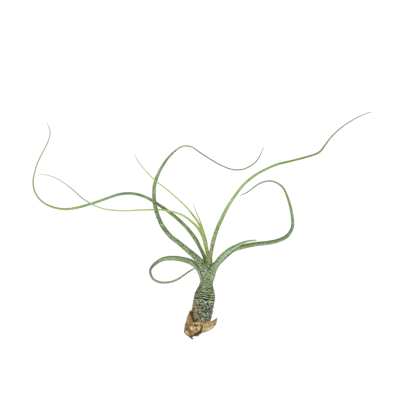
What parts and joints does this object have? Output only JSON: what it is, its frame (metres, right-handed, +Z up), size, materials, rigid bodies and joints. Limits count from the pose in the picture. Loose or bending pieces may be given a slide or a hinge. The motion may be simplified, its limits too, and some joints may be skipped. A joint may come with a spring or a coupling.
{
  "type": "air plant",
  "caption": "Small rootless plant lying on its side: a swollen bulb of leaf sheaths on a short stem, with long narrow channelled leaves that curl out from its neck.",
  "frame": {"origin": "middle of the flat spot under the bulb, on the surface that the plant lies on", "axes": "+Z up from the surface, +Y along the bulb from its foot towards the leaves, +X across, along the longest spread of the leaves"},
  "size_m": [0.2716, 0.1822, 0.0528],
  "materials": {
    "leaf_mottled": "matte",
    "leaf_deep_green": "matte",
    "leaf_olive": "matte",
    "leaf_young": "satin",
    "stem": "matte",
    "dry_scale": "matte",
    "root": "matte"
  },
  "bodies": {
    "root": {"leaf_1_left_loop": "leaf_mottled", "leaf_2_short_right": "leaf_mottled", "leaf_3_hooked_right": "leaf_mottled", "leaf_4_tall_hook": "leaf_mottled", "leaf_5_far_left": "leaf_deep_green", "leaf_6_far_right": "leaf_olive", "leaf_7_thin_left": "leaf_young", "leaf_8_thin_upper": "leaf_young", "leaf_9_centre_spike": "leaf_young", "stem": "stem", "dry_scale_left": "dry_scale", "dry_scale_right": "dry_scale", "dry_scale_front": "dry_scale", "root_stub_left": "root", "root_stub_right": "root"}
  },
  "joints": []
}
